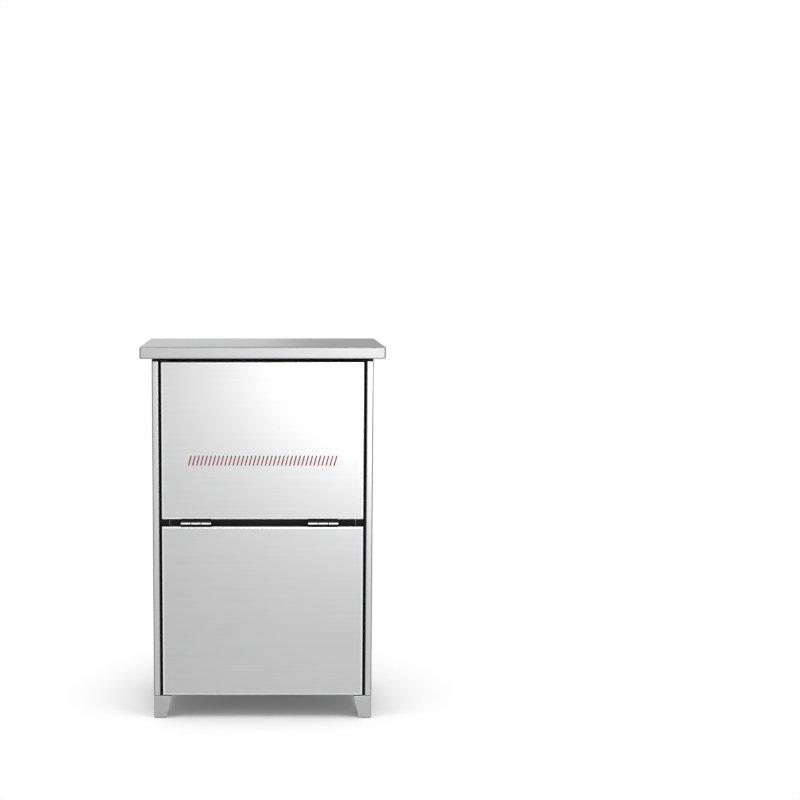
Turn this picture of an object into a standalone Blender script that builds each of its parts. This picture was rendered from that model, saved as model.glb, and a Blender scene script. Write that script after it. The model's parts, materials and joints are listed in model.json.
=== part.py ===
"""Free-standing fire extinguisher cabinet of folded stainless sheet, with a lift-up lid and a drop-down front flap.

Metres, +Z up, the front faces -Y. The origin is on the ground under the middle of the overall box.
"""

import math

import bmesh
import bpy
from mathutils import Matrix, Vector

MM = 0.001
RIGHT, BACK, UP = Vector((1, 0, 0)), Vector((0, 1, 0)), Vector((0, 0, 1))

# Sheet work
SHEET = 1.0 * MM
FOLD_RADIUS = 2.0 * MM
FOLD_STEPS = 4
FIT = 0.3 * MM

# Body
BODY_WIDTH = 320 * MM
BODY_DEPTH = 160 * MM
TOTAL_HEIGHT = 550 * MM
POST_WIDTH = 10 * MM
REAR_FLANGE = 15 * MM
REBATE_WIDTH = 14 * MM
REBATE_LIP = 8 * MM
BACK_PANEL_INSET = 3 * MM
FLOOR_FLANGE = 15 * MM
FLOOR_RELIEF = 3 * MM

# Front panels
PANEL_SIDE_GAP = 3 * MM
PANEL_DEPTH = 12 * MM
PANEL_LIP = 10 * MM
PANEL_CORNER = 1.2 * MM
LOWER_PANEL_HEIGHT = 252.4 * MM
PANEL_BAND = 10.4 * MM
MID_RAIL_HEIGHT = 40 * MM
MID_RAIL_FLANGE = 8 * MM

# Seals
SEAL_THICKNESS = 3 * MM
DOOR_SEAL_LAP = 10 * MM
MID_SEAL_HEIGHT = 26 * MM
MID_SEAL_INSET = 0.5 * MM
RIM_SEAL_WIDTH = 9 * MM
RIM_SEAL_BEND = 12 * MM

# Lid
LID_OVERHANG = 16 * MM
LID_SKIRT = 17 * MM
LID_CLEARANCE = 5 * MM
LID_REAR_GAP = 3 * MM
LID_LIP = 8 * MM
LID_CORNER = 3 * MM
RIM_RAIL_FLANGE = 10 * MM
RIM_RAIL_LEG = 12 * MM

# Feet
FOOT_SHEET = 1.5 * MM
FOOT_HEIGHT = 34 * MM
FOOT_TOP = 26 * MM
FOOT_SOLE = 18 * MM
FOOT_FLANGE = 38 * MM
FOOT_FLANGE_RECESS = 6 * MM
FOOT_FOLD = 2 * MM

# Hinges
HINGE_LENGTH = 44 * MM
KNUCKLES = 3
KNUCKLE_GAP = 0.5 * MM
KNUCKLE_RADIUS = 2.1 * MM
LEAF_SHEET = 1.0 * MM
LEAF_CURL = math.radians(288)
LEAF_CURL_STEPS = 16
LEAF_CRANK_START = 2.5 * MM
LEAF_CRANK_RUN = 3.5 * MM
LEAF_RELIEF = 0.4 * MM
PIN_RADIUS = 0.95 * MM
PIN_PROUD = 0.6 * MM
PIN_SIDES = 16
FLAP_LEAF_REACH = 13 * MM
FLAP_HINGE_LEFT_INSET = 53 * MM
FLAP_HINGE_RIGHT_INSET = 62 * MM
LID_LEAF_REACH = 15 * MM
LID_BODY_LEAF_REACH = 26 * MM
LID_HINGE_INSET = 68 * MM
LID_AXIS_DROP = 1 * MM

# Places worked out from the sizes above
HALF_WIDTH = BODY_WIDTH / 2
LID_REAR_REACH = LID_REAR_GAP + SHEET
LID_AXIS_REACH = LID_REAR_REACH + FIT + KNUCKLE_RADIUS
FRONT = -(BODY_DEPTH - LID_OVERHANG + LID_AXIS_REACH + KNUCKLE_RADIUS) / 2
REAR = FRONT + BODY_DEPTH
BASE = FOOT_HEIGHT + FIT
SKIRT_BOTTOM = TOTAL_HEIGHT - LID_SKIRT
WALL_TOP = SKIRT_BOTTOM - LID_CLEARANCE
WALL_HEIGHT = WALL_TOP - BASE
LOWER_PANEL_TOP = BASE + LOWER_PANEL_HEIGHT
FLAP_BOTTOM = LOWER_PANEL_TOP + PANEL_BAND
FLAP_HEIGHT = WALL_TOP - FLAP_BOTTOM
BAND_MIDDLE = LOWER_PANEL_TOP + PANEL_BAND / 2
OPENING_HALF = HALF_WIDTH - POST_WIDTH
PANEL_WIDTH = 2 * (OPENING_HALF - PANEL_SIDE_GAP)
SEAL_FRONT = FRONT + PANEL_DEPTH + FIT
REBATE_FRONT = SEAL_FRONT + SEAL_THICKNESS + FIT
REBATE_HALF = OPENING_HALF - REBATE_WIDTH
REBATE_REAR = REBATE_FRONT + REBATE_LIP
REAR_FLANGE_FACE = REAR - SHEET - FIT
INSIDE_HALF = HALF_WIDTH - SHEET - FIT
INSIDE_REAR = REAR_FLANGE_FACE - SHEET - FIT
FLAP_AXIS = Vector((0, FRONT - KNUCKLE_RADIUS, BAND_MIDDLE))
LID_AXIS = Vector((0, REAR + LID_AXIS_REACH, SKIRT_BOTTOM - LID_AXIS_DROP))

# Finishes: colour, roughness, metallic
STAINLESS = ((0.80, 0.80, 0.81, 1), 0.34, 1.0)
HINGE_STEEL = ((0.86, 0.86, 0.87, 1), 0.25, 1.0)
FOOT_STEEL = ((0.62, 0.62, 0.63, 1), 0.45, 1.0)
BLACK_RUBBER = ((0.02, 0.02, 0.02, 1), 0.7, 0.0)


def clear_scene():
    for old in list(bpy.data.objects):
        bpy.data.objects.remove(old, do_unlink=True)


def finish_material(name, finish):
    colour, roughness, metallic = finish
    material = bpy.data.materials.new(name + "_finish")
    material.use_nodes = True
    shader = material.node_tree.nodes["Principled BSDF"]
    shader.inputs["Base Color"].default_value = colour
    shader.inputs["Roughness"].default_value = roughness
    shader.inputs["Metallic"].default_value = metallic
    return material


def piece(name, bm, finish, place=(0, 0, 0), turn=(0, 0, 0), axis=None):
    """Make the named solid from bm; axis is the empty on the joint that carries a moving piece."""
    mesh = bpy.data.meshes.new(name)
    bm.to_mesh(mesh)
    bm.free()
    mesh.shade_smooth()
    mesh.set_sharp_from_angle(angle=math.radians(35))
    mesh.materials.append(finish_material(name, finish))
    made = bpy.data.objects.new(name, mesh)
    bpy.context.collection.objects.link(made)
    made.location = Vector(place)
    made.rotation_euler = turn
    if axis:
        made.parent = axis
        made.location -= axis.location
    return made


def joint_axis(name, place):
    empty = bpy.data.objects.new(name, None)
    empty.location = place
    bpy.context.collection.objects.link(empty)
    return empty


def facing(across, upward):
    """Turn that lays an outline's first axis along across and its second along upward."""
    return Matrix((across, upward, across.cross(upward))).transposed().to_euler()


def rounded(points, thickness, radius, steps=FOLD_STEPS):
    """The line through points with its corners bent; the sheet lies on its left, radius is the outside one."""
    line = [Vector(point) for point in points]
    path = [line[0]]
    for before, corner, after in zip(line, line[1:], line[2:]):
        arriving = (corner - before).normalized()
        leaving = (after - corner).normalized()
        turn = math.atan2(arriving.cross(leaving), arriving.dot(leaving))
        bend = radius if turn > 0 else radius - thickness
        start = corner - arriving * bend * math.tan(abs(turn) / 2)
        inward = Vector((-arriving.y, arriving.x)) * math.copysign(1, turn)
        centre = start + inward * bend
        for step in range(steps + 1):
            path.append(centre + Matrix.Rotation(turn * step / steps, 2) @ (start - centre))
    path.append(line[-1])
    return path


def strip(path, thickness):
    """Closed outline of a sheet whose right side follows path."""
    runs = [(after - before).normalized() for before, after in zip(path, path[1:])]
    left = []
    for index, point in enumerate(path):
        arriving = runs[max(index - 1, 0)]
        leaving = runs[min(index, len(runs) - 1)]
        normal = Vector((-arriving.y - leaving.y, arriving.x + leaving.x))
        left.append(point + normal * thickness / (1 + arriving.dot(leaving)))
    return path + left[::-1]


def mirrored(outline, side):
    return [Vector((side * point.x, point.y)) for point in outline]


def prism(outline, length):
    """Solid with this outline in its XY plane, running length along +Z."""
    bm = bmesh.new()
    base = bm.faces.new([bm.verts.new((point.x, point.y, 0)) for point in outline])
    raised = bmesh.ops.extrude_face_region(bm, geom=[base])["geom"]
    tops = [item for item in raised if isinstance(item, bmesh.types.BMVert)]
    bmesh.ops.translate(bm, vec=(0, 0, length), verts=tops)
    bmesh.ops.recalc_face_normals(bm, faces=bm.faces)
    return bm


def block(low, high):
    """Rectangular solid between two corners."""
    bm = bmesh.new()
    bmesh.ops.create_cube(bm, size=1)
    low, high = Vector(low), Vector(high)
    bmesh.ops.scale(bm, vec=high - low, verts=bm.verts)
    bmesh.ops.translate(bm, vec=(low + high) / 2, verts=bm.verts)
    return bm


def notch(target, name, low, high):
    """Cut a rectangular notch, given in the target's own axes."""
    cutter = piece(name, block(low, high), STAINLESS, target.location, target.rotation_euler)
    cutter.parent = target.parent
    cutter.hide_render = True
    cutter.display_type = 'WIRE'
    cut = target.modifiers.new(name, 'BOOLEAN')
    cut.operation = 'DIFFERENCE'
    cut.solver = 'EXACT'
    cut.object = cutter


def bend_points(start, end, centre, radius):
    """Quarter circle from one angle to another, in degrees, as pairs."""
    for step in range(FOLD_STEPS + 1):
        angle = math.radians(start + (end - start) * step / FOLD_STEPS)
        yield centre[0] + radius * math.cos(angle), centre[1] + radius * math.sin(angle)


def rounded_rectangle(half_width, half_height, radius, steps=FOLD_STEPS):
    corners = ((1, 1, 0), (-1, 1, 90), (-1, -1, 180), (1, -1, 270))
    points = []
    for side_x, side_y, start in corners:
        for step in range(steps + 1):
            angle = math.radians(start + 90 * step / steps)
            points.append((side_x * (half_width - radius) + radius * math.cos(angle),
                           side_y * (half_height - radius) + radius * math.sin(angle)))
    return points


def pan(width, height, depth, lip, corner):
    """Shallow folded tray: its face is at z 0 and looks along +Z, its sides go down and end in an inward lip."""
    inner = FOLD_RADIUS - SHEET
    section = [
        *bend_points(90, 180, (FOLD_RADIUS, -FOLD_RADIUS), FOLD_RADIUS),
        *bend_points(180, 270, (FOLD_RADIUS, FOLD_RADIUS - depth), FOLD_RADIUS),
        (lip, -depth),
        (lip, SHEET - depth),
        *bend_points(270, 180, (FOLD_RADIUS, FOLD_RADIUS - depth), inner),
        *bend_points(180, 90, (FOLD_RADIUS, -FOLD_RADIUS), inner),
    ]
    sharpest = SHEET / 5
    bm = bmesh.new()
    rings = []
    for inset, level in section:
        outline = rounded_rectangle(width / 2 - inset, height / 2 - inset, max(corner - inset, sharpest))
        rings.append([bm.verts.new((x, y, level)) for x, y in outline])
    for ring, following in zip(rings, rings[1:]):
        for index in range(len(ring)):
            bm.faces.new((ring[index - 1], ring[index], following[index], following[index - 1]))
    bm.faces.new(rings[0])
    bm.faces.new(rings[-1])
    bmesh.ops.recalc_face_normals(bm, faces=bm.faces)
    return bm


def bent_surface(faces, radius):
    """Join flat faces along their shared edges and bend each of those edges; faces look outwards."""
    bm = bmesh.new()
    corners = {}
    for face in faces:
        for point in face:
            if point not in corners:
                corners[point] = bm.verts.new(point)
        bm.faces.new([corners[point] for point in face])
    folds = [edge for edge in bm.edges if len(edge.link_faces) == 2]
    bmesh.ops.bevel(bm, geom=folds, offset=radius, offset_type='OFFSET', segments=FOLD_STEPS,
                    profile=0.5, affect='EDGES')
    return bm


def thicken(target, thickness):
    """Give an outward-looking surface its sheet thickness, inwards."""
    wall = target.modifiers.new("sheet", 'SOLIDIFY')
    wall.thickness = thickness
    wall.offset = -1
    wall.use_even_offset = True
    wall.use_quality_normals = True


def side_panel(name, side):
    """Wall, post face, door rebate and rear flange, all folded from one sheet."""
    plan = rounded([
        (REBATE_HALF, REBATE_REAR),
        (REBATE_HALF, REBATE_FRONT),
        (OPENING_HALF, REBATE_FRONT),
        (OPENING_HALF, FRONT),
        (HALF_WIDTH, FRONT),
        (HALF_WIDTH, REAR_FLANGE_FACE),
        (HALF_WIDTH - REAR_FLANGE, REAR_FLANGE_FACE),
    ], SHEET, FOLD_RADIUS)
    piece(name, prism(mirrored(strip(plan, SHEET), side), WALL_HEIGHT), STAINLESS, (0, 0, BASE))


def back_panel():
    half = HALF_WIDTH - BACK_PANEL_INSET
    piece("back_panel", block((-half, REAR - SHEET, BASE), (half, REAR, WALL_TOP)), STAINLESS)


def floor_panel():
    """T-shaped tray: its tongue runs forward between the two rebates."""
    tongue = REBATE_HALF - FIT
    front, shoulder = SEAL_FRONT, REBATE_REAR + FIT
    outline = [
        (-tongue, front), (tongue, front), (tongue, shoulder), (INSIDE_HALF, shoulder),
        (INSIDE_HALF, INSIDE_REAR - FLOOR_RELIEF), (INSIDE_HALF - FLOOR_RELIEF, INSIDE_REAR),
        (FLOOR_RELIEF - INSIDE_HALF, INSIDE_REAR), (-INSIDE_HALF, INSIDE_REAR - FLOOR_RELIEF),
        (-INSIDE_HALF, shoulder), (-tongue, shoulder),
    ]
    flanged = (0, 3, 5, 7)
    faces = [[(x, y, 0) for x, y in reversed(outline)]]
    for index in flanged:
        (x0, y0), (x1, y1) = outline[index], outline[index + 1]
        faces.append([(x0, y0, 0), (x1, y1, 0), (x1, y1, FLOOR_FLANGE), (x0, y0, FLOOR_FLANGE)])
    floor = piece("floor_panel", bent_surface(faces, FOLD_RADIUS), STAINLESS, (0, 0, BASE))
    thicken(floor, SHEET)


def front_pan(name, bottom, height, axis=None):
    bm = pan(PANEL_WIDTH, height, PANEL_DEPTH, PANEL_LIP, PANEL_CORNER)
    piece(name, bm, STAINLESS, (0, FRONT, bottom + height / 2), facing(RIGHT, UP), axis)


def mid_rail():
    """Channel across the front behind the band between the two panels."""
    rise = MID_RAIL_HEIGHT / 2
    section = rounded([
        (MID_RAIL_FLANGE, rise),
        (0, rise),
        (0, -rise),
        (MID_RAIL_FLANGE, -rise),
    ], SHEET, FOLD_RADIUS)
    half = REBATE_HALF - FIT
    place = (-half, REBATE_FRONT, BAND_MIDDLE)
    piece("mid_rail", prism(strip(section, SHEET), 2 * half), STAINLESS, place, facing(BACK, UP))


def rim_angle():
    """Angle section: leg upwards at the origin's side, then a flange towards -X at the top."""
    section = rounded([(0, -RIM_RAIL_LEG), (0, 0), (-RIM_RAIL_FLANGE, 0)], SHEET, FOLD_RADIUS)
    return strip(section, SHEET)


def rim_rails():
    front = REBATE_REAR + FIT
    rear = INSIDE_REAR - RIM_RAIL_FLANGE - FIT
    for name, side in (("left_rim_rail", -1), ("right_rim_rail", 1)):
        bm = prism(mirrored(rim_angle(), side), rear - front)
        piece(name, bm, STAINLESS, (side * INSIDE_HALF, rear, WALL_TOP), facing(RIGHT, UP))
    half = INSIDE_HALF - (FOLD_RADIUS - SHEET)
    bm = prism(rim_angle(), 2 * half)
    piece("rear_rim_rail", bm, STAINLESS, (-half, INSIDE_REAR, WALL_TOP), facing(BACK, UP))


def seals():
    outer = OPENING_HALF - (FOLD_RADIUS - SHEET)
    inner = OPENING_HALF - PANEL_SIDE_GAP - DOOR_SEAL_LAP
    rear = SEAL_FRONT + SEAL_THICKNESS
    top = WALL_TOP - FIT
    for name, side in (("left_door_seal", -1), ("right_door_seal", 1)):
        edges = sorted((side * inner, side * outer))
        bm = block((edges[0], SEAL_FRONT, BASE + FIT), (edges[1], rear, top))
        piece(name, bm, BLACK_RUBBER)
    half = REBATE_HALF - MID_SEAL_INSET
    rise = MID_SEAL_HEIGHT / 2
    bm = block((-half, SEAL_FRONT, BAND_MIDDLE - rise), (half, rear, BAND_MIDDLE + rise))
    piece("mid_seal", bm, BLACK_RUBBER)


def rim_seal():
    """Sponge strip on the top edge, bent round the two sides and the back, open at the front."""
    half = HALF_WIDTH - FIT
    plan = rounded([
        (half, FRONT + FIT),
        (half, REAR - FIT),
        (-half, REAR - FIT),
        (-half, FRONT + FIT),
    ], RIM_SEAL_WIDTH, RIM_SEAL_BEND)
    height = TOTAL_HEIGHT - SHEET - FIT - WALL_TOP - FIT
    piece("rim_seal", prism(strip(plan, RIM_SEAL_WIDTH), height), BLACK_RUBBER, (0, 0, WALL_TOP + FIT))


def foot(name, side, end):
    """Angle foot: two tapered walls, a sole and a fixing flange; side and end are -1 at the left and front."""
    heel, top, flange, recess = FOOT_SOLE, FOOT_TOP, FOOT_FLANGE, FOOT_FLANGE_RECESS
    crown = FOOT_HEIGHT
    faces = [
        [(0, 0, 0), (heel, 0, 0), (top, 0, crown), (0, 0, crown)],
        [(0, 0, 0), (0, 0, crown), (0, top, crown), (0, heel, 0)],
        [(0, 0, 0), (0, heel, 0), (heel, heel, 0), (heel, 0, 0)],
        [(0, 0, crown), (top, 0, crown), (top, recess, crown), (flange, recess, crown),
         (flange, flange, crown), (recess, flange, crown), (recess, top, crown), (0, top, crown)],
    ]
    placed = [[(-side * x, -end * y, z) for x, y, z in face] for face in faces]
    if side * end < 0:
        placed = [face[::-1] for face in placed]
    corner = (side * HALF_WIDTH, FRONT if end < 0 else REAR, 0)
    made = piece(name, bent_surface(placed, FOOT_FOLD), FOOT_STEEL, corner)
    thicken(made, FOOT_SHEET)


def leaf(name, place, turn, reach, rise, has_middle, axis=None):
    """Hinge leaf rolled round the pin, which lies on its local Z; rise is from the pin's centre to the plate's face."""
    path = [Vector((reach, rise))]
    if rise > KNUCKLE_RADIUS:
        path.append(Vector((LEAF_CRANK_START + LEAF_CRANK_RUN, rise)))
        path.append(Vector((LEAF_CRANK_START, KNUCKLE_RADIUS)))
    for step in range(LEAF_CURL_STEPS + 1):
        angle = math.pi / 2 + LEAF_CURL * step / LEAF_CURL_STEPS
        path.append(Vector((math.cos(angle), math.sin(angle))) * KNUCKLE_RADIUS)
    bm = prism(strip(path, LEAF_SHEET), HINGE_LENGTH)
    bmesh.ops.translate(bm, vec=(0, 0, -HINGE_LENGTH / 2), verts=bm.verts)
    made = piece(name, bm, HINGE_STEEL, place, turn, axis)
    pitch = (HINGE_LENGTH + KNUCKLE_GAP) / KNUCKLES
    clear = KNUCKLE_RADIUS + LEAF_RELIEF
    beyond = 2 * KNUCKLE_RADIUS
    for index in range(KNUCKLES):
        if (index % 2 == 1) == has_middle:
            continue
        start = -HINGE_LENGTH / 2 + index * pitch - KNUCKLE_GAP
        end = start + pitch + KNUCKLE_GAP
        if index == 0:
            start -= beyond
        if index == KNUCKLES - 1:
            end += beyond
        notch(made, f"{name}_notch_{index}", (-beyond, -beyond, start), (clear, beyond, end))


def pin(name, place):
    bm = bmesh.new()
    bmesh.ops.create_cone(bm, cap_ends=True, segments=PIN_SIDES, radius1=PIN_RADIUS, radius2=PIN_RADIUS,
                          depth=HINGE_LENGTH + 2 * PIN_PROUD)
    piece(name, bm, HINGE_STEEL, place, facing(BACK, UP))


def flap_hinges(axis):
    """Leaves lie along the facing edges of the two front panels, the lower one fixed."""
    rise = PANEL_BAND / 2 - FIT
    left = FLAP_HINGE_LEFT_INSET - OPENING_HALF
    right = OPENING_HALF - FLAP_HINGE_RIGHT_INSET
    for name, middle in (("left_flap_hinge", left), ("right_flap_hinge", right)):
        place = FLAP_AXIS + RIGHT * middle
        leaf(name + "_upper_leaf", place, facing(BACK, UP), FLAP_LEAF_REACH, rise, True, axis)
        leaf(name + "_lower_leaf", place, facing(BACK, -UP), FLAP_LEAF_REACH, rise, False)
        pin(name + "_pin", place)


def lid_hinges(axis):
    """One leaf on the lid's rear skirt, the other cranked back to the rear panel."""
    for name, side in (("left_lid_hinge", -1), ("right_lid_hinge", 1)):
        place = LID_AXIS + RIGHT * side * (HALF_WIDTH - LID_HINGE_INSET)
        leaf(name + "_lid_leaf", place, facing(UP, -BACK), LID_LEAF_REACH, KNUCKLE_RADIUS, True, axis)
        rise = LID_AXIS_REACH - FIT
        leaf(name + "_body_leaf", place, facing(-UP, -BACK), LID_BODY_LEAF_REACH, rise, False)
        pin(name + "_pin", place)


def lid(axis):
    front = FRONT - LID_OVERHANG
    rear = REAR + LID_REAR_REACH
    width = BODY_WIDTH + 2 * LID_OVERHANG
    bm = pan(width, rear - front, LID_SKIRT, LID_LIP, LID_CORNER)
    made = piece("lid_panel", bm, STAINLESS, (0, (front + rear) / 2, TOTAL_HEIGHT), axis=axis)
    half = width / 2 - SHEET
    edge = (rear - front) / 2 - SHEET
    low = (-half, edge - LID_LIP - FIT, -LID_SKIRT - SHEET)
    notch(made, "rear_lip_notch", low, (half, edge, FOLD_RADIUS - LID_SKIRT))


def build():
    clear_scene()
    flap_axis = joint_axis("flap_axis", FLAP_AXIS)
    lid_axis = joint_axis("lid_axis", LID_AXIS)
    side_panel("left_side_panel", -1)
    side_panel("right_side_panel", 1)
    back_panel()
    floor_panel()
    front_pan("lower_front_panel", BASE, LOWER_PANEL_HEIGHT)
    front_pan("flap_panel", FLAP_BOTTOM, FLAP_HEIGHT, flap_axis)
    mid_rail()
    rim_rails()
    seals()
    rim_seal()
    for name, side, end in (("front_left_foot", -1, -1), ("front_right_foot", 1, -1),
                            ("rear_left_foot", -1, 1), ("rear_right_foot", 1, 1)):
        foot(name, side, end)
    flap_hinges(flap_axis)
    lid_hinges(lid_axis)
    lid(lid_axis)


build()
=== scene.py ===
"""Looks of a stainless steel fire extinguisher cabinet: its finishes, fixings, floor, light and camera."""

import json
import math

import bpy
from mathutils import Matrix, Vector

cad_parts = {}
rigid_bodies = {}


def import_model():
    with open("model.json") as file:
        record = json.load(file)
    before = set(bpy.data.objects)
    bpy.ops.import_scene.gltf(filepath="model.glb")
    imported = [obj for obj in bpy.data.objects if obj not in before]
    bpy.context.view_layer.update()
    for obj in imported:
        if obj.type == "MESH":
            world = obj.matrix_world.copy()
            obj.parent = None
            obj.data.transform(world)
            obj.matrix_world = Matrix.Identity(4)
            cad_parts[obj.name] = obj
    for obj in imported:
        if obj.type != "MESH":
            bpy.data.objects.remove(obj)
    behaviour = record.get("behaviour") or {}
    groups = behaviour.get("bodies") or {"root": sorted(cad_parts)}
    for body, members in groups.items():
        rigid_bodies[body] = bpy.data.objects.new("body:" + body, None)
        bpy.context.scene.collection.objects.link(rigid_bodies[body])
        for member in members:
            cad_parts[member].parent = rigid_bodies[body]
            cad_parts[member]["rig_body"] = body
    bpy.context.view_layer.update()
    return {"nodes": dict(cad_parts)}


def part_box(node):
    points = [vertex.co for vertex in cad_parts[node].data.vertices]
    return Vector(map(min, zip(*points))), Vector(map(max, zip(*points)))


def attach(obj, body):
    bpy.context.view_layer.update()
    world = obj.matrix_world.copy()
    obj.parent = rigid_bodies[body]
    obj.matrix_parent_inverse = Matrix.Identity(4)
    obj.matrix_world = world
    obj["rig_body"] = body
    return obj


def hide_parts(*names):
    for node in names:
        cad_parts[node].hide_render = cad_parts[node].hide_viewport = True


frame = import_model()

MM = 0.001

# Axes, by number and by direction
X, Z = 0, 2
RIGHT, BACK, UP = Vector((1, 0, 0)), Vector((0, 1, 0)), Vector((0, 0, 1))

# Camera, with the shift that the photograph's off-centre crop needs
CAMERA_DISTANCE = 1.6943
CAMERA_HEIGHT = 0.6792
CAMERA_PITCH = math.radians(4.5)
CAMERA_LENS = 53.16
CAMERA_SHIFT_X = 0.1717
CAMERA_SHIFT_Y = -0.0636

# Strength of the studio's white where it is seen, and where it only lights the cabinet
SEEN_WHITE = 1.0
AMBIENT = 0.6

# The floor shades as paper within the paper radius and is plain white beyond the white radius
FLOOR_SIZE = 60
PAPER_WHITE = (0.93, 0.93, 0.93, 1)
PAPER_RADIUS = 0.15
WHITE_RADIUS = 0.33

# Colours
FRONT_STEEL = (0.45, 0.45, 0.455)
# The lid's steel is darker than the same steel on the front: painted shade
SHADED_LID_STEEL = (0.38, 0.38, 0.385)
WALL_STEEL = (0.45, 0.45, 0.455)
# Unbrushed mill steel for the insides, darker than the outside steel as painted shade inside the cabinet
SHADED_MILL_STEEL = (0.35, 0.35, 0.355)
# Bright steel on the front bends of the flap and the lower panel: a painted highlight
FOLD_HIGHLIGHT_STEEL = (0.78, 0.78, 0.785)
# Dark steel on the bends that turn away from the front, and under the lowest bend: painted shade
BEND_SHADE_STEEL = (0.13, 0.13, 0.13)
# Bright steel on the front strip of the flap hinge knuckles: a painted highlight
KNUCKLE_HIGHLIGHT_STEEL = (0.72, 0.72, 0.72)
PLATED_STEEL = (0.52, 0.52, 0.52)
# The feet's steel is darker than the same steel on the front: painted shade
SHADED_FOOT_STEEL = (0.38, 0.38, 0.385)
FIXING_STEEL = (0.45, 0.45, 0.455)
# Black on the flap hinge leaves and pins: painted shade
SHADE_BLACK = (0.014, 0.014, 0.015)
# Black on the seals behind the door gaps: painted shade in the gaps
GAP_SHADE_BLACK = (0.012, 0.012, 0.012)
# Grey of the beads at the ends of the middle seal: painted light
LIT_EDGE_GREY = (0.2, 0.2, 0.2)
SIGNAL_RED = (0.27, 0.018, 0.03)

# Relief of the brushed steel and of the thin coats
BRUSH_LINES_PER_METRE = 2200
BRUSH_STRETCH = 0.006
BRUSH_DEPTH = 0.02 * MM
WAVE_DEPTH = 1.2 * MM
WAVE_STRENGTH = 0.5
COAT_SPECULAR = 0.25
COAT_GRAIN_STRENGTH = 0.6

# Edge work on the sheet
EDGE_ROUND = 0.25 * MM
EDGE_SEGMENTS = 2
EDGE_ANGLE = math.radians(50)
SMOOTH_ANGLE = math.radians(40)
FACET_ANGLE = math.radians(1)
FLAT_FACE = 0.985
FLAT_WEIGHT = 100
MERGE = 0.01 * MM
SLIVER = 0.001 * MM

# Turns from the front at which the finishes along folds and knuckles begin or end
LID_SHADE_TURN = math.radians(40)
WALL_SHADE_TURN = math.radians(25)
UNDERSIDE_TURN = math.radians(25)
KNUCKLE_TURN = math.radians(40)

# A face whose normal leans back this far isn't part of a front bend
REARWARD = 0.1

# Margin beside a bend that takes the bend's painted highlight, and the end of a knuckle left in the leaf's
# painted shade
HIGHLIGHT_MARGIN = 0.7 * MM
KNUCKLE_END = 0.35 * MM

# Grey beads in the gaps at the ends of the middle seal: painted light, standing in for the lit steel edge
# seen through each gap
BEAD_GAP = 0.1 * MM
BEAD_ROUND = 0.3 * MM
BEAD_SEGMENTS = 3

# Blind rivets
RIVET_RADIUS = 2.4 * MM
RIVET_RIM = 0.45 * MM
RIVET_DOME = 0.55 * MM
RIVET_SHOULDER_SHARE = 0.7
RIVET_HOLE_RADIUS = 0.8 * MM
RIVET_SIDES = 24
LEAF_SHEET = 1 * MM
LEAF_RIVET_SPREAD = 13 * MM
LEAF_RIVET_INSET = 3.6 * MM
LID_LEAF_RIVET_INSET = 6 * MM
BACK_RIVET_INSET = 5 * MM
BACK_RIVET_END = 22 * MM
BACK_RIVETS = 6

# Foot bolts on their washers
BOLT_INSET = 26 * MM
BOLT_SIDES = 6
BOLT_RADIUS = 5.8 * MM
BOLT_HEIGHT = 3.6 * MM
BOLT_CHAMFER = 0.7 * MM
BOLT_CHAMFER_RISE = BOLT_CHAMFER / 2
BOLT_DISH_RIM = 3 * BOLT_CHAMFER
BOLT_DISH_DEPTH = BOLT_CHAMFER / 3
WASHER_SIDES = 32
WASHER_RADIUS = 6.6 * MM
WASHER_HEIGHT = 1 * MM
WASHER_CHAMFER = BOLT_CHAMFER / 2
WASHER_CHAMFER_RISE = BOLT_CHAMFER / 4
FOOT_SHEET = 1.5 * MM

# Row of red dashes on the flap
DASH_ROW = 217 * MM
DASH_HEIGHT = 14.6 * MM
DASH_WIDTH = 1.9 * MM
DASH_SLANT = 4 * MM
DASH_FILM = 0.08 * MM
DASH_CORNER = 0.35 * MM
DASH_SEGMENTS = 3
DASH_PITCH = 5.9 * MM
DASH_MIDDLE_FROM_FLAP_BOTTOM = 86.5 * MM


def deselect():
    bpy.ops.object.select_all(action='DESELECT')


def pick(piece):
    deselect()
    piece.select_set(True)
    bpy.context.view_layer.objects.active = piece


def named(name):
    """The piece that was just made, under its own name."""
    piece = bpy.context.active_object
    piece.name = name
    piece.data.name = name
    return piece


def settle(piece):
    """Put a piece's place into its mesh."""
    pick(piece)
    bpy.ops.object.transform_apply(location=True, rotation=True, scale=True)


def apply_modifiers(piece):
    pick(piece)
    for modifier in list(piece.modifiers):
        bpy.ops.object.modifier_apply(modifier=modifier.name)


def smooth(piece):
    pick(piece)
    bpy.ops.object.shade_smooth_by_angle(angle=SMOOTH_ANGLE)


def paint(piece, *materials):
    piece.data.materials.clear()
    for material in materials:
        piece.data.materials.append(material)


def edit_all(piece):
    """Open a piece in edit mode with all of it selected."""
    pick(piece)
    bpy.ops.object.mode_set(mode='EDIT')
    bpy.ops.mesh.select_all(action='SELECT')


def edit_faces(piece, wanted):
    """Open a piece in edit mode with only the wanted faces selected."""
    pick(piece)
    bpy.ops.object.mode_set(mode='EDIT')
    bpy.ops.mesh.select_mode(type='FACE')
    bpy.ops.mesh.select_all(action='DESELECT')
    bpy.ops.object.mode_set(mode='OBJECT')
    for face in piece.data.polygons:
        face.select = wanted(face)
    bpy.ops.object.mode_set(mode='EDIT')


def top_face(face):
    return face.normal.z > FLAT_FACE


def bent(face):
    return max(abs(part) for part in face.normal) < FLAT_FACE


def ends(mesh, face, axis):
    """Where a face starts and stops along one axis."""
    places = [mesh.vertices[index].co[axis] for index in face.vertices]
    return min(places), max(places)


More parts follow.
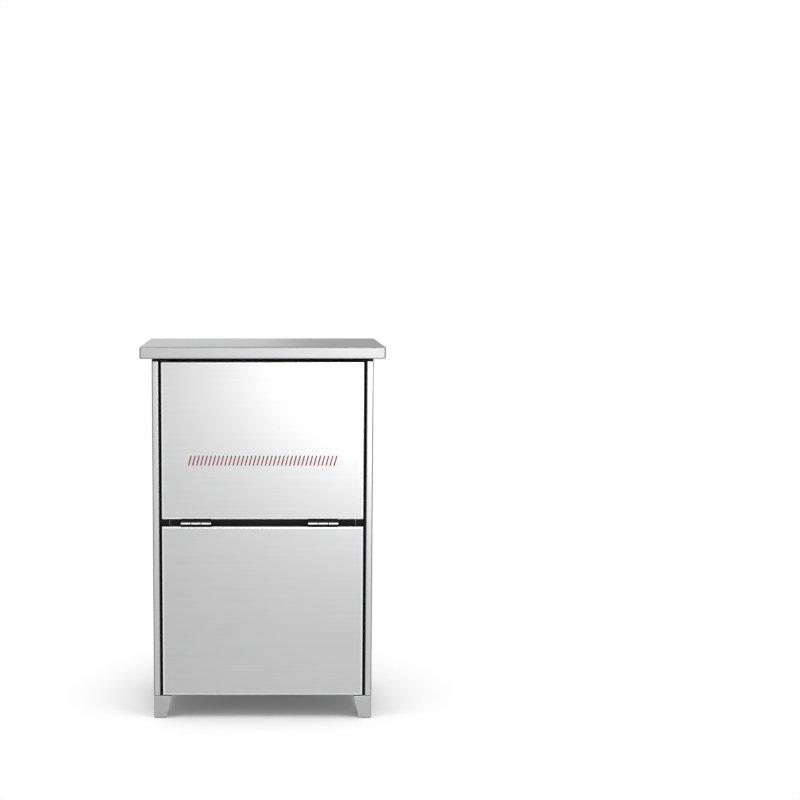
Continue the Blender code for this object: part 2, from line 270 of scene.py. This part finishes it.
def shader_group(name, inputs, outputs):
    group = bpy.data.node_groups.new(name, 'ShaderNodeTree')
    for label, kind, value in inputs:
        socket = group.interface.new_socket(name=label, in_out='INPUT', socket_type=kind)
        if value is not None:
            socket.default_value = value
    for label, kind in outputs:
        group.interface.new_socket(name=label, in_out='OUTPUT', socket_type=kind)
    return group, group.nodes.new('NodeGroupInput'), group.nodes.new('NodeGroupOutput')


def feed(tree, socket, value):
    """Set a socket to a number, or link another socket to it."""
    if isinstance(value, (int, float)):
        socket.default_value = value
    else:
        tree.links.new(value, socket)


def add_math(tree, operation, first, second):
    node = tree.nodes.new('ShaderNodeMath')
    node.operation = operation
    feed(tree, node.inputs[0], first)
    feed(tree, node.inputs[1], second)
    return node.outputs[0]


def add_noise(tree, vector, scale, detail):
    noise = tree.nodes.new('ShaderNodeTexNoise')
    noise.inputs["Detail"].default_value = detail
    feed(tree, noise.inputs["Scale"], scale)
    tree.links.new(vector, noise.inputs["Vector"])
    return noise.outputs["Fac"]


def add_bump(tree, height, distance, strength, normal=None):
    bump = tree.nodes.new('ShaderNodeBump')
    bump.inputs["Distance"].default_value = distance
    bump.inputs["Strength"].default_value = strength
    tree.links.new(height, bump.inputs["Height"])
    if normal:
        tree.links.new(normal, bump.inputs["Normal"])
    return bump.outputs["Normal"]


def add_tint(group, colour, factor):
    """Colour multiplied by a grey factor."""
    grey = group.nodes.new('ShaderNodeCombineColor')
    for channel in grey.inputs:
        group.links.new(factor, channel)
    mix = group.nodes.new('ShaderNodeMix')
    mix.data_type = 'RGBA'
    mix.blend_type = 'MULTIPLY'
    mix.inputs["Factor"].default_value = 1
    group.links.new(colour, mix.inputs["A"])
    group.links.new(grey.outputs[0], mix.inputs["B"])
    return mix.outputs["Result"]


def swing(group, pattern, share):
    """A pattern's rise and fall about its middle, scaled to a share."""
    middle = 0.5
    return add_math(group, 'MULTIPLY', add_math(group, 'SUBTRACT', pattern, middle), share)


def vary(group, given, out, colour, change):
    """Lay an uneven change over the colour and the roughness that a finish was given."""
    tint = add_tint(group, given.outputs[colour], add_math(group, 'ADD', change, 1.0))
    group.links.new(tint, out.inputs["Color"])
    group.links.new(add_math(group, 'ADD', change, given.outputs["Roughness"]), out.inputs["Roughness"])


def brushed_grain():
    """Fine lines and broader streaks along one direction, with a faint cloudy film over them."""
    group, given, out = shader_group("brushed_grain", (
        ("Stretched", 'NodeSocketVector', None),
        ("Position", 'NodeSocketVector', None),
        ("Metal", 'NodeSocketColor', (1, 1, 1, 1)),
        ("Roughness", 'NodeSocketFloat', 0.35),
        ("Fine", 'NodeSocketFloat', 0.16),
        ("Streaks", 'NodeSocketFloat', 0.06),
        ("Film", 'NodeSocketFloat', 0.03),
    ), (
        ("Color", 'NodeSocketColor'),
        ("Roughness", 'NodeSocketFloat'),
        ("Lines", 'NodeSocketFloat'),
        ("Waves", 'NodeSocketFloat'),
    ))
    lines = add_noise(group, given.outputs["Stretched"], scale=1.0, detail=2)
    streaks = add_noise(group, given.outputs["Stretched"], scale=0.12, detail=3)
    film = add_noise(group, given.outputs["Position"], scale=9, detail=4)
    waves = add_noise(group, given.outputs["Position"], scale=4.5, detail=1)
    change = 0.0
    for pattern, share in ((lines, "Fine"), (streaks, "Streaks"), (film, "Film")):
        change = add_math(group, 'ADD', swing(group, pattern, given.outputs[share]), change)
    vary(group, given, out, "Metal", change)
    group.links.new(lines, out.inputs["Lines"])
    group.links.new(waves, out.inputs["Waves"])
    return group


def cloudy_coat():
    """Uneven tone and gloss of a thin coat, with its fine grain as a height."""
    group, given, out = shader_group("cloudy_coat", (
        ("Position", 'NodeSocketVector', None),
        ("Coat", 'NodeSocketColor', (0, 0, 0, 1)),
        ("Roughness", 'NodeSocketFloat', 0.5),
        ("Cloud Scale", 'NodeSocketFloat', 60),
        ("Grain Scale", 'NodeSocketFloat', 900),
        ("Unevenness", 'NodeSocketFloat', 0.3),
    ), (
        ("Color", 'NodeSocketColor'),
        ("Roughness", 'NodeSocketFloat'),
        ("Grain", 'NodeSocketFloat'),
    ))
    cloud = add_noise(group, given.outputs["Position"], given.outputs["Cloud Scale"], detail=4)
    cells = group.nodes.new('ShaderNodeTexVoronoi')
    group.links.new(given.outputs["Position"], cells.inputs["Vector"])
    group.links.new(given.outputs["Grain Scale"], cells.inputs["Scale"])
    vary(group, given, out, "Coat", swing(group, cloud, given.outputs["Unevenness"]))
    group.links.new(cells.outputs["Distance"], out.inputs["Grain"])
    return group


def new_material(name):
    """A material, its tree, its Principled shader and the place on the piece."""
    material = bpy.data.materials.new(name)
    material.use_nodes = True
    tree = material.node_tree
    position = tree.nodes.new('ShaderNodeTexCoord').outputs["Object"]
    return material, tree, tree.nodes["Principled BSDF"], position


def add_group(tree, group, links, values):
    node = tree.nodes.new('ShaderNodeGroup')
    node.node_tree = group
    for label, socket in links.items():
        tree.links.new(socket, node.inputs[label])
    for label, value in values.items():
        node.inputs[label].default_value = value
    return node


def brushed_steel(name, grain, colour, roughness, along, edge_tint, film=0.03, grooves=0.6):
    """Steel brushed along one axis; edge_tint darkens it where it is seen edge on."""
    material, tree, shader, position = new_material(name)
    scale = Vector((BRUSH_LINES_PER_METRE, BRUSH_LINES_PER_METRE, BRUSH_LINES_PER_METRE))
    scale[along] *= BRUSH_STRETCH
    mapping = tree.nodes.new('ShaderNodeMapping')
    mapping.inputs["Scale"].default_value = scale
    tree.links.new(position, mapping.inputs["Vector"])
    brushing = add_group(tree, grain, {"Stretched": mapping.outputs["Vector"], "Position": position},
                         {"Metal": (*colour, 1), "Roughness": roughness, "Film": film})
    shader.inputs["Metallic"].default_value = 1
    shader.inputs["Specular Tint"].default_value = (edge_tint, edge_tint, edge_tint, 1)
    tree.links.new(brushing.outputs["Color"], shader.inputs["Base Color"])
    tree.links.new(brushing.outputs["Roughness"], shader.inputs["Roughness"])
    wavy = add_bump(tree, brushing.outputs["Waves"], WAVE_DEPTH, WAVE_STRENGTH)
    grooved = add_bump(tree, brushing.outputs["Lines"], BRUSH_DEPTH, grooves, wavy)
    tree.links.new(grooved, shader.inputs["Normal"])
    return material


def coated(name, coat, colour, roughness, cloud_scale, grain_scale, unevenness, grain_depth):
    """Thin dull coat with cloudy tones and a fine grain."""
    material, tree, shader, position = new_material(name)
    layer = add_group(tree, coat, {"Position": position}, {
        "Coat": (*colour, 1), "Roughness": roughness, "Cloud Scale": cloud_scale,
        "Grain Scale": grain_scale, "Unevenness": unevenness})
    shader.inputs["Specular IOR Level"].default_value = COAT_SPECULAR
    tree.links.new(layer.outputs["Color"], shader.inputs["Base Color"])
    tree.links.new(layer.outputs["Roughness"], shader.inputs["Roughness"])
    grained = add_bump(tree, layer.outputs["Grain"], grain_depth, COAT_GRAIN_STRENGTH)
    tree.links.new(grained, shader.inputs["Normal"])
    return material


def make_finishes():
    grain = brushed_grain()
    coat = cloudy_coat()
    return {
        "front": brushed_steel("front_steel", grain, FRONT_STEEL, roughness=0.37, along=X, edge_tint=0.4),
        # Lid in a darker copy of the front steel: painted shade
        "lid": brushed_steel("painted_shade_lid_steel", grain, SHADED_LID_STEEL, roughness=0.44, along=X, edge_tint=0.5),
        "wall": brushed_steel("wall_steel", grain, WALL_STEEL, roughness=0.36, along=Z, edge_tint=0.1,
                              grooves=0.5),
        # Unbrushed mill finish for the insides, its darker colour painted shade
        "mill_and_shade": brushed_steel("mill_steel_with_painted_shade", grain, SHADED_MILL_STEEL, roughness=0.46, along=X, edge_tint=0.4,
                              film=0.1, grooves=0.3),
        # Painted highlight along the front bends and their margins
        "fold": brushed_steel("painted_highlight_fold_steel", grain, FOLD_HIGHLIGHT_STEEL, roughness=0.24, along=X, edge_tint=0.5,
                              film=0.08),
        # Painted shade on the bends that turn away, drawn as dark lines
        "line": brushed_steel("painted_bend_shade_steel", grain, BEND_SHADE_STEEL, roughness=0.4, along=X, edge_tint=0.1,
                              film=0.08),
        # Feet in a darker copy of the same steel: painted shade
        "foot": brushed_steel("foot_steel", grain, SHADED_FOOT_STEEL, roughness=0.42, along=Z, edge_tint=0.3,
                              film=0.08),
        # Painted highlight on the front strip of the flap hinge knuckles
        "hinge": brushed_steel("hinge_steel", grain, KNUCKLE_HIGHLIGHT_STEEL, roughness=0.3, along=X, edge_tint=0.05),
        "plated": brushed_steel("plated_leaf_steel", grain, PLATED_STEEL, roughness=0.34, along=Z,
                                edge_tint=0.3, film=0.08),
        "fixing": brushed_steel("fixing_steel", grain, FIXING_STEEL, roughness=0.3, along=X, edge_tint=0.4,
                                film=0.1),
        # Painted shade: the flap hinge leaves and pins in black
        "shade_black": coated("painted_shade_black_leaf", coat, SHADE_BLACK, roughness=0.55, cloud_scale=90,
                            grain_scale=2500, unevenness=0.3, grain_depth=0.02 * MM),
        # Painted shade: the seals behind the gaps in black
        "gap_shade": coated("painted_gap_shade_seal", coat, GAP_SHADE_BLACK, roughness=0.8, cloud_scale=60,
                       grain_scale=900, unevenness=0.5, grain_depth=0.3 * MM),
        # Painted light: the grey beads that stand in for a lit steel edge
        "sealant": coated("grey_sealant", coat, LIT_EDGE_GREY, roughness=0.6, cloud_scale=200,
                          grain_scale=3000, unevenness=0.3, grain_depth=0.05 * MM),
        "ink": coated("printed_red", coat, SIGNAL_RED, roughness=0.45, cloud_scale=140,
                      grain_scale=4000, unevenness=0.25, grain_depth=0.01 * MM),
    }


def dressed(node, finishes, prepare=None):
    """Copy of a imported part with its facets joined, its cut edges softened and its folds shaded round."""
    source = frame["nodes"][node]
    piece = bpy.data.objects.new(node + "_dressed", source.data.copy())
    bpy.context.scene.collection.objects.link(piece)
    edit_all(piece)
    bpy.ops.mesh.remove_doubles(threshold=MERGE)
    bpy.ops.mesh.dissolve_limited(angle_limit=FACET_ANGLE)
    bpy.ops.mesh.normals_make_consistent(inside=False)
    bpy.ops.mesh.customdata_custom_splitnormals_clear()
    bpy.ops.object.mode_set(mode='OBJECT')
    if prepare:
        prepare(piece)
    bevel = piece.modifiers.new("soft_edges", 'BEVEL')
    bevel.width = EDGE_ROUND
    bevel.segments = EDGE_SEGMENTS
    bevel.limit_method = 'ANGLE'
    bevel.angle_limit = EDGE_ANGLE
    apply_modifiers(piece)
    edit_all(piece)
    bpy.ops.mesh.dissolve_degenerate(threshold=SLIVER)
    bpy.ops.object.mode_set(mode='OBJECT')
    smooth(piece)
    flatten = piece.modifiers.new("flat_faces", 'WEIGHTED_NORMAL')
    flatten.keep_sharp = True
    flatten.weight = FLAT_WEIGHT
    apply_modifiers(piece)
    paint(piece, *finishes)
    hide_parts(node)
    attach(piece, source["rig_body"])
    return piece


def front_sheet(piece):
    """Test for the faces that lie in the foremost plane of a piece."""
    front = min(vertex.co.y for vertex in piece.data.vertices)
    return lambda face: face.normal.y < -FLAT_FACE and face.center.y < front + MERGE


def cut_across(piece, wanted, axis, place):
    """Divide the wanted faces in a plane square to an axis."""
    direction = (RIGHT, BACK, UP)[axis]
    edit_faces(piece, wanted)
    bpy.ops.mesh.bisect(plane_co=direction * place, plane_no=direction)
    bpy.ops.object.mode_set(mode='OBJECT')


def frame_front(piece):
    """Cut a narrow margin off the front sheet beside each of its bends, to take the bends' painted
    highlight.
    """
    in_front = front_sheet(piece)
    sheet = max(filter(in_front, piece.data.polygons), key=lambda face: face.area)
    edges = [(axis, ends(piece.data, sheet, axis)) for axis in (X, Z)]
    for axis, (start, end) in edges:
        cut_across(piece, in_front, axis, start + HIGHLIGHT_MARGIN)
        cut_across(piece, in_front, axis, end - HIGHLIGHT_MARGIN)


def paint_fold_highlights(piece):
    """The second finish on the bends and their margins: a brighter steel that is a painted highlight along
    each bend.
    """
    in_front = front_sheet(piece)
    for face in piece.data.polygons:
        spans = (ends(piece.data, face, axis) for axis in (X, Z))
        narrow = min(end - start for start, end in spans) < 2 * HIGHLIGHT_MARGIN
        if bent(face) or (narrow and in_front(face)):
            face.material_index = 1


def paint_underside_shade(piece):
    """The third finish, the dark bend steel, on the part of the lowest bend that turns down: painted shade
    under the panel.
    """
    for face in piece.data.polygons:
        if bent(face) and face.normal.z < -math.sin(UNDERSIDE_TURN):
            face.material_index = 2


def paint_fold_shade(piece, turn):
    """The second finish on the part of each front bend past a turn: a dark steel, painted shade where the
    bend turns away from the front.
    """
    for face in piece.data.polygons:
        if bent(face) and -math.cos(turn) < face.normal.y < REARWARD:
            face.material_index = 1


def unbrushed_and_shaded_side(piece, direction):
    """The last finish on the widest face that looks in a direction: the unbrushed inner side of the sheet,
    its darker colour partly painted shade.
    """
    facing = [face for face in piece.data.polygons if face.normal.dot(direction) > FLAT_FACE]
    max(facing, key=lambda face: face.area).material_index = len(piece.data.materials) - 1


def knuckle_strips(node):
    """Where along the hinge line a flap hinge leaf's knuckles lie, and the test for their front."""
    low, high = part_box(node.replace("upper_leaf", "pin").replace("lower_leaf", "pin"))
    axis = (low + high) / 2

    def in_front(face):
        return face.normal.y < -math.cos(KNUCKLE_TURN) and face.center.y < axis.y

    source = frame["nodes"][node].data
    knuckles = {ends(source, face, X) for face in source.polygons if in_front(face)}
    return [(start + KNUCKLE_END, end - KNUCKLE_END) for start, end in sorted(knuckles)], in_front


def dress_flap_leaf(node, finishes):
    """Leaf in black, painted shade, whose knuckles carry a bright strip along their front, short of their
    ends: a painted highlight.
    """
    strips, in_front = knuckle_strips(node)

    def cut_strip_ends(piece):
        for start, end in strips:
            cut_across(piece, in_front, X, start)
            cut_across(piece, in_front, X, end)

    leaf = dressed(node, (finishes["shade_black"], finishes["hinge"]), cut_strip_ends)
    for face in leaf.data.polygons:
        if in_front(face) and any(start < face.center.x < end for start, end in strips):
            face.material_index = 1


def dress_parts(finishes):
    mill_and_shade = finishes["mill_and_shade"]
    for node in sorted(frame["nodes"]):
        if node == "flap_panel":
            flap = dressed(node, (finishes["front"], finishes["fold"], mill_and_shade), frame_front)
            paint_fold_highlights(flap)
            unbrushed_and_shaded_side(flap, BACK)
        elif node == "lower_front_panel":
            panel = dressed(node, (finishes["front"], finishes["fold"], finishes["line"], mill_and_shade), frame_front)
            paint_fold_highlights(panel)
            paint_underside_shade(panel)
            unbrushed_and_shaded_side(panel, BACK)
        elif node == "lid_panel":
            lid = dressed(node, (finishes["lid"], finishes["line"], mill_and_shade))
            paint_fold_shade(lid, LID_SHADE_TURN)
            unbrushed_and_shaded_side(lid, -UP)
        elif node in ("left_side_panel", "right_side_panel"):
            wall = dressed(node, (finishes["wall"], finishes["line"], mill_and_shade))
            paint_fold_shade(wall, WALL_SHADE_TURN)
            unbrushed_and_shaded_side(wall, RIGHT if node.startswith("left") else -RIGHT)
        elif node == "back_panel":
            unbrushed_and_shaded_side(dressed(node, (finishes["wall"], mill_and_shade)), -BACK)
        elif "flap_hinge" in node and "leaf" in node:
            dress_flap_leaf(node, finishes)
        # Flap hinge pins in black: painted shade
        elif "flap_hinge" in node:
            dressed(node, (finishes["shade_black"],))
        elif "hinge" in node:
            dressed(node, (finishes["plated"],))
        elif "foot" in node:
            dressed(node, (finishes["foot"],))
        # Seals in black: painted shade in the door gaps
        elif "seal" in node:
            dressed(node, (finishes["gap_shade"],))
        # Everything else sits inside the cabinet: unbrushed mill steel, darker as painted shade
        else:
            dressed(node, (mill_and_shade,))


def add_seal_joints(material):
    """Rounded grey bead between each end of the middle seal and the door seal beside it: painted light,
    standing in for the lit steel edge seen through the gap.
    """
    low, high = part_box("mid_seal")
    gaps = (("left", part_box("left_door_seal")[1].x, low.x),
            ("right", high.x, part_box("right_door_seal")[0].x))
    for side, start, end in gaps:
        size = Vector((end - start - 2 * BEAD_GAP, high.y - low.y, high.z - low.z))
        place = Vector(((start + end) / 2, (low.y + high.y) / 2, (low.z + high.z) / 2))
        bpy.ops.mesh.primitive_cube_add(size=1, location=place, scale=size)
        bead = named(side + "_seal_joint")
        settle(bead)
        rounding = bead.modifiers.new("rounding", 'BEVEL')
        rounding.width = BEAD_ROUND
        rounding.segments = BEAD_SEGMENTS
        apply_modifiers(bead)
        smooth(bead)
        paint(bead, material)
        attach(bead, "cabinet")


def placed_copy(pattern, name, place, toward, body, material):
    """Copy of a pattern that stands on the origin along +Z, put at place and turned toward a direction."""
    copy = bpy.data.objects.new(name, pattern.data.copy())
    bpy.context.scene.collection.objects.link(copy)
    copy.location = place
    copy.rotation_euler = toward.to_track_quat('Z', 'Y').to_euler()
    settle(copy)
    paint(copy, material)
    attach(copy, body)


def rivet_pattern():
    """Blind rivet head: a rim, a dome and the hole that its mandrel left."""
    bpy.ops.mesh.primitive_cylinder_add(vertices=RIVET_SIDES, radius=RIVET_RADIUS, depth=RIVET_RIM,
                                        location=(0, 0, RIVET_RIM / 2))
    rivet = named("rivet_pattern")
    settle(rivet)
    edit_faces(rivet, top_face)
    step = (RIVET_RADIUS - RIVET_HOLE_RADIUS) / 2
    for share in (RIVET_SHOULDER_SHARE, 1 - RIVET_SHOULDER_SHARE):
        bpy.ops.mesh.inset(thickness=step, depth=share * RIVET_DOME)
    bpy.ops.mesh.inset(thickness=0, depth=-RIVET_DOME)
    bpy.ops.object.mode_set(mode='OBJECT')
    smooth(rivet)
    return rivet


def bolt_pattern():
    """Hexagon head with a chamfered and dished crown, on its washer."""
    bpy.ops.mesh.primitive_cylinder_add(vertices=WASHER_SIDES, radius=WASHER_RADIUS, depth=WASHER_HEIGHT,
                                        location=(0, 0, WASHER_HEIGHT / 2))
    washer = named("washer_pattern")
    settle(washer)
    edit_faces(washer, top_face)
    bpy.ops.mesh.inset(thickness=WASHER_CHAMFER, depth=WASHER_CHAMFER_RISE)
    bpy.ops.object.mode_set(mode='OBJECT')
    deselect()
    bpy.ops.mesh.primitive_cylinder_add(vertices=BOLT_SIDES, radius=BOLT_RADIUS, depth=BOLT_HEIGHT,
                                        location=(0, 0, WASHER_HEIGHT + BOLT_HEIGHT / 2))
    bolt = named("bolt_pattern")
    settle(bolt)
    edit_faces(bolt, top_face)
    bpy.ops.mesh.inset(thickness=BOLT_CHAMFER, depth=BOLT_CHAMFER_RISE)
    bpy.ops.mesh.inset(thickness=BOLT_DISH_RIM, depth=-BOLT_DISH_DEPTH)
    bpy.ops.object.mode_set(mode='OBJECT')
    washer.select_set(True)
    bpy.ops.object.join()
    return bolt


def add_hinge_rivets(pattern, material):
    """Two rivets through each hinge leaf, on its open side."""
    leaves = (("flap_hinge_upper_leaf", "flap", -UP), ("flap_hinge_lower_leaf", "cabinet", UP),
              ("lid_hinge_lid_leaf", "lid", BACK), ("lid_hinge_body_leaf", "cabinet", BACK))
    for side in ("left", "right"):
        for leaf, body, toward in leaves:
            node = f"{side}_{leaf}"
            low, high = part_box(node)
            middle = (low + high) / 2
            if toward == BACK:
                middle.y = low.y + LEAF_SHEET
                middle.z = high.z - LID_LEAF_RIVET_INSET if body == "lid" else low.z + LID_LEAF_RIVET_INSET
            else:
                middle.y = high.y - LEAF_RIVET_INSET
                middle.z = high.z - LEAF_SHEET if body == "flap" else low.z + LEAF_SHEET
            for number, offset in ((1, -LEAF_RIVET_SPREAD), (2, LEAF_RIVET_SPREAD)):
                placed_copy(pattern, f"{node}_rivet_{number}", middle + offset * RIGHT, toward,
                            body, material)


def add_back_rivets(pattern, material):
    """Rows that hold the back sheet to the rear flanges of the walls."""
    low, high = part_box("back_panel")
    first, last = low.z + BACK_RIVET_END, high.z - BACK_RIVET_END
    for side, x in (("left", low.x + BACK_RIVET_INSET), ("right", high.x - BACK_RIVET_INSET)):
        for number in range(BACK_RIVETS):
            level = first + (last - first) * number / (BACK_RIVETS - 1)
            placed_copy(pattern, f"{side}_back_rivet_{number + 1}", Vector((x, high.y, level)), BACK,
                        "cabinet", material)


def add_foot_bolts(pattern, material):
    for node in ("front_left_foot", "front_right_foot", "rear_left_foot", "rear_right_foot"):
        low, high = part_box(node)
        x = low.x + BOLT_INSET if "left" in node else high.x - BOLT_INSET
        y = low.y + BOLT_INSET if "front" in node else high.y - BOLT_INSET
        placed_copy(pattern, node + "_bolt", Vector((x, y, high.z - FOOT_SHEET)), -UP,
                    "cabinet", material)


def add_fixings(material):
    rivet = rivet_pattern()
    add_hinge_rivets(rivet, material)
    add_back_rivets(rivet, material)
    bolt = bolt_pattern()
    add_foot_bolts(bolt, material)
    for pattern in (rivet, bolt):
        bpy.data.objects.remove(pattern)


def dash_pattern():
    """One slanted dash of print: a thin bar whose top is moved sideways and whose corners are rounded."""
    bpy.ops.mesh.primitive_cube_add(size=1, location=(0, 0, 0), scale=(DASH_WIDTH, DASH_FILM, DASH_HEIGHT))
    dash = named("dash_pattern")
    settle(dash)
    edit_faces(dash, top_face)
    bpy.ops.transform.translate(value=(DASH_SLANT, 0, 0))
    bpy.ops.object.mode_set(mode='OBJECT')
    corners = dash.modifiers.new("corners", 'BEVEL')
    corners.width = DASH_CORNER
    corners.segments = DASH_SEGMENTS
    corners.limit_method = 'WEIGHT'
    marks = dash.data.attributes.new("bevel_weight_edge", 'FLOAT', 'EDGE')
    for edge in dash.data.edges:
        start, end = (dash.data.vertices[index].co for index in edge.vertices)
        through_film = abs(start.y - end.y) > DASH_FILM / 2
        marks.data[edge.index].value = 1 if through_film else 0
    apply_modifiers(dash)
    return dash


def add_red_row(material):
    """Plain row of red dashes across the flap."""
    pattern = dash_pattern()
    low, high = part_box("flap_panel")
    middle = low.z + DASH_MIDDLE_FROM_FLAP_BOTTOM
    room = DASH_ROW - DASH_SLANT - DASH_WIDTH
    count = round(room / DASH_PITCH) + 1
    dashes = []
    for number in range(count):
        dash = bpy.data.objects.new(f"dash_{number}", pattern.data.copy())
        bpy.context.scene.collection.objects.link(dash)
        x = (low.x + high.x) / 2 - DASH_ROW / 2 + DASH_WIDTH / 2 + room * number / (count - 1)
        dash.location = (x, low.y - DASH_FILM / 2, middle)
        settle(dash)
        dashes.append(dash)
    pick(dashes[0])
    for dash in dashes:
        dash.select_set(True)
    bpy.ops.object.join()
    row = named("red_dash_row")
    paint(row, material)
    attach(row, "flap")
    bpy.data.objects.remove(pattern)


def add_camera():
    data = bpy.data.cameras.new("camera")
    data.lens = CAMERA_LENS
    data.shift_x = CAMERA_SHIFT_X
    data.shift_y = CAMERA_SHIFT_Y
    camera = bpy.data.objects.new("camera", data)
    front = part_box("left_side_panel")[0].y
    camera.location = (0, front - CAMERA_DISTANCE, CAMERA_HEIGHT)
    camera.rotation_euler = (math.pi / 2 - CAMERA_PITCH, 0, 0)
    bpy.context.scene.collection.objects.link(camera)
    bpy.context.scene.camera = camera


def seen_rays(tree):
    """1 for camera, glossy and transmission rays."""
    path = tree.nodes.new('ShaderNodeLightPath')
    total = add_math(tree, 'MAXIMUM', path.outputs["Is Camera Ray"], path.outputs["Is Glossy Ray"])
    return add_math(tree, 'MAXIMUM', total, path.outputs["Is Transmission Ray"])


def studio_level(tree):
    """Plain white to rays that show it, and the ambient level to rays that light the cabinet."""
    lift = add_math(tree, 'MULTIPLY', seen_rays(tree), SEEN_WHITE - AMBIENT)
    return add_math(tree, 'ADD', lift, AMBIENT)


def add_world():
    world = bpy.data.worlds.new("studio")
    world.use_nodes = True
    bpy.context.scene.world = world
    tree = world.node_tree
    sky = tree.nodes["Background"]
    sky.inputs["Color"].default_value = (1, 1, 1, 1)
    tree.links.new(studio_level(tree), sky.inputs["Strength"])


def far_from_middle(tree):
    """0 on the floor near the cabinet, rising to 1 where the floor is plain white."""
    place = tree.nodes.new('ShaderNodeTexCoord').outputs["Object"]
    reach = tree.nodes.new('ShaderNodeVectorMath')
    reach.operation = 'LENGTH'
    tree.links.new(place, reach.inputs[0])
    fade = tree.nodes.new('ShaderNodeMapRange')
    fade.interpolation_type = 'SMOOTHSTEP'
    fade.inputs["From Min"].default_value = PAPER_RADIUS
    fade.inputs["From Max"].default_value = WHITE_RADIUS
    tree.links.new(reach.outputs["Value"], fade.inputs["Value"])
    return fade.outputs[0]


def add_floor():
    bpy.ops.mesh.primitive_plane_add(size=FLOOR_SIZE, location=(0, 0, 0))
    floor = named("floor")
    settle(floor)
    material = bpy.data.materials.new("pale_floor")
    material.use_nodes = True
    tree = material.node_tree
    tree.nodes.clear()
    out = tree.nodes.new('ShaderNodeOutputMaterial')
    paper = tree.nodes.new('ShaderNodeBsdfDiffuse')
    paper.inputs["Color"].default_value = PAPER_WHITE
    far = tree.nodes.new('ShaderNodeEmission')
    tree.links.new(studio_level(tree), far.inputs["Strength"])
    blend = tree.nodes.new('ShaderNodeMixShader')
    tree.links.new(far_from_middle(tree), blend.inputs[0])
    tree.links.new(paper.outputs[0], blend.inputs[1])
    tree.links.new(far.outputs[0], blend.inputs[2])
    tree.links.new(blend.outputs[0], out.inputs["Surface"])
    paint(floor, material)


def add_softbox(name, place, aim, width, height, power):
    data = bpy.data.lights.new(name, 'AREA')
    data.shape = 'RECTANGLE'
    data.size = width
    data.size_y = height
    data.energy = power
    lamp = bpy.data.objects.new(name, data)
    lamp.location = place
    lamp.rotation_euler = (Vector(aim) - Vector(place)).to_track_quat('-Z', 'Y').to_euler()
    bpy.context.scene.collection.objects.link(lamp)


def add_lights():
    middle = (0, 0, 0.3)
    top = (0, 0, 0.55)
    add_softbox("key_softbox", (0.62, -2.75, 0.42), middle, width=1.15, height=0.6, power=18.5)
    add_softbox("left_softbox", (-1.1, -0.4, 2.3), middle, width=1.2, height=1.2, power=19)
    add_softbox("right_softbox", (1.1, -0.4, 2.3), middle, width=1.2, height=1.2, power=22)
    add_softbox("back_softbox", (-0.5, 2.3, 1.0), top, width=1.2, height=0.6, power=5.8)


bpy.context.scene.view_settings.view_transform = 'Standard'
add_camera()
add_world()
add_floor()
add_lights()
finishes = make_finishes()
dress_parts(finishes)
add_seal_joints(finishes["sealant"])
add_fixings(finishes["fixing"])
add_red_row(finishes["ink"])
